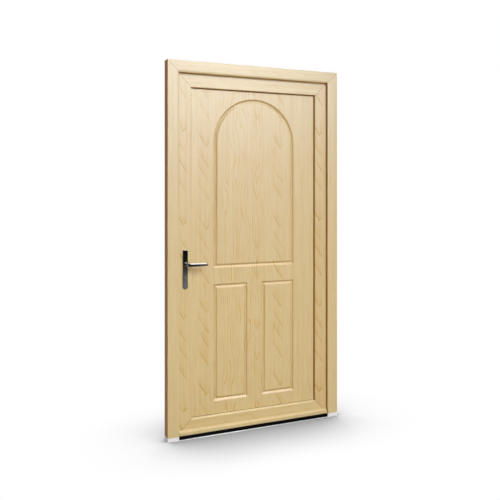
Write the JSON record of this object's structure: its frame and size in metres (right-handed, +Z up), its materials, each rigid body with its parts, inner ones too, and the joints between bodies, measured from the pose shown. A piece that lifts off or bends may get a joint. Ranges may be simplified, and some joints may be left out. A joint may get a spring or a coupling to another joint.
{
  "type": "panelled front door",
  "caption": "Front door in its frame: maple-look leaf with an arched moulded field over lower fields, lever handle, drip bar and low threshold; it swings inwards on hinges.",
  "frame": {"origin": "on the floor, in the middle of the frame's width and of its depth, on the threshold's underside", "axes": "+X to the right seen from outside, +Y towards the inside of the house, +Z up"},
  "size_m": [1.1, 0.173, 2.15],
  "materials": {
    "foiled_profile": "maple-look foil on moulded profile, satin",
    "foiled_panel": "maple-look foil on a moulded panel, satin",
    "galvanised_steel": "zinc coated",
    "aluminium": "mill finish",
    "black_core": "black, matt",
    "rubber_seal": "black, matt",
    "bolt_steel": "zinc plated",
    "handle_metal": "polished, dark",
    "cylinder_metal": "nickel plated",
    "hinge_paint": "brown coating",
    "hinge_pin_steel": "bright steel"
  },
  "bodies": {
    "frame": {"frame_jamb_left": "foiled_profile", "frame_jamb_right": "foiled_profile", "frame_head": "foiled_profile", "frame_steel_left": "galvanised_steel", "frame_steel_right": "galvanised_steel", "frame_steel_head": "galvanised_steel", "threshold_sill": "aluminium", "threshold_core": "black_core", "jamb_foot_left": "aluminium", "jamb_foot_right": "aluminium", "frame_gasket": "rubber_seal", "strike_plate": "bolt_steel", "bolt_keep_bottom": "bolt_steel", "bolt_keep_top": "bolt_steel", "hinge_frame_leaf_1": "hinge_paint", "hinge_pin_1": "hinge_pin_steel", "hinge_frame_leaf_2": "hinge_paint", "hinge_pin_2": "hinge_pin_steel", "hinge_frame_leaf_3": "hinge_paint", "hinge_pin_3": "hinge_pin_steel"},
    "leaf": {"sash_stile_lock": "foiled_profile", "sash_stile_hinge": "foiled_profile", "sash_top_rail": "foiled_profile", "sash_bottom_rail": "foiled_profile", "sash_steel_lock": "galvanised_steel", "sash_steel_hinge": "galvanised_steel", "sash_steel_top": "galvanised_steel", "sash_steel_bottom": "galvanised_steel", "door_panel": "foiled_panel", "panel_gasket_outside": "rubber_seal", "panel_gasket_inside": "rubber_seal", "glazing_bead_left": "foiled_profile", "glazing_bead_right": "foiled_profile", "glazing_bead_top": "foiled_profile", "glazing_bead_bottom": "foiled_profile", "sash_gasket": "rubber_seal", "bottom_seal": "rubber_seal", "drip_bar": "foiled_profile", "lock_faceplate": "bolt_steel", "lock_case": "bolt_steel", "bolt_case_bottom": "bolt_steel", "bolt_case_top": "bolt_steel", "cylinder_body": "cylinder_metal", "handle_plate_outside": "handle_metal", "handle_plate_inside": "handle_metal", "handle_screws": "bolt_steel", "hinge_sash_leaf_1": "hinge_paint", "hinge_sash_leaf_2": "hinge_paint", "hinge_sash_leaf_3": "hinge_paint"},
    "lever_set": {"lever_outside": "handle_metal", "lever_inside": "handle_metal", "spindle": "bolt_steel"},
    "latch": {"latch_bolt": "bolt_steel"},
    "deadbolt": {"dead_bolt": "bolt_steel"},
    "swing_bolt_upper": {"swing_bolt_top": "bolt_steel"},
    "swing_bolt_lower": {"swing_bolt_bottom": "bolt_steel"},
    "rods": {"drive_rods": "bolt_steel"},
    "key_plug": {"cylinder_plug": "cylinder_metal"}
  },
  "joints": [
    {"name": "leaf_swing", "type": "hinge", "parent": "frame", "child": "leaf", "pos_m": [0.52, 0.046, 0], "axis": [0, 0, -1], "range_deg": [0, 100]},
    {"name": "lever_turn", "type": "hinge", "parent": "leaf", "child": "lever_set", "pos_m": [-0.4408, 0, 0.991], "axis": [0, 1, 0], "range_deg": [0, 45], "stiffness_Nm_per_rad": 1.5, "springref_deg": -20.05},
    {"name": "latch_throw", "type": "slide", "parent": "leaf", "child": "latch", "axis": [-1, 0, 0], "range_m": [0, 0.012]},
    {"name": "key_turn", "type": "hinge", "parent": "leaf", "child": "key_plug", "pos_m": [-0.4408, 0, 0.919], "axis": [0, 1, 0], "range_deg": [0, 360]},
    {"name": "deadbolt_throw", "type": "slide", "parent": "leaf", "child": "deadbolt", "axis": [-1, 0, 0], "range_m": [0, 0.02]},
    {"name": "bolt_swing_upper", "type": "hinge", "parent": "leaf", "child": "swing_bolt_upper", "pos_m": [-0.476, 0.02, 1.71702], "axis": [0, 1, 0], "range_deg": [0, 90]},
    {"name": "bolt_swing_lower", "type": "hinge", "parent": "leaf", "child": "swing_bolt_lower", "pos_m": [-0.476, 0.02, 0.37737], "axis": [0, 1, 0], "range_deg": [0, 90]},
    {"name": "rods_slide", "type": "slide", "parent": "leaf", "child": "rods", "axis": [0, 0, 1], "range_m": [0, 0.015]}
  ],
  "couplings": [
    {"joint": "key_turn", "follows": "rods_slide", "rad_per_m": 418.88},
    {"joint": "deadbolt_throw", "follows": "rods_slide", "ratio": 1.3333},
    {"joint": "bolt_swing_upper", "follows": "rods_slide", "rad_per_m": 104.72},
    {"joint": "bolt_swing_lower", "follows": "rods_slide", "rad_per_m": 104.72}
  ]
}
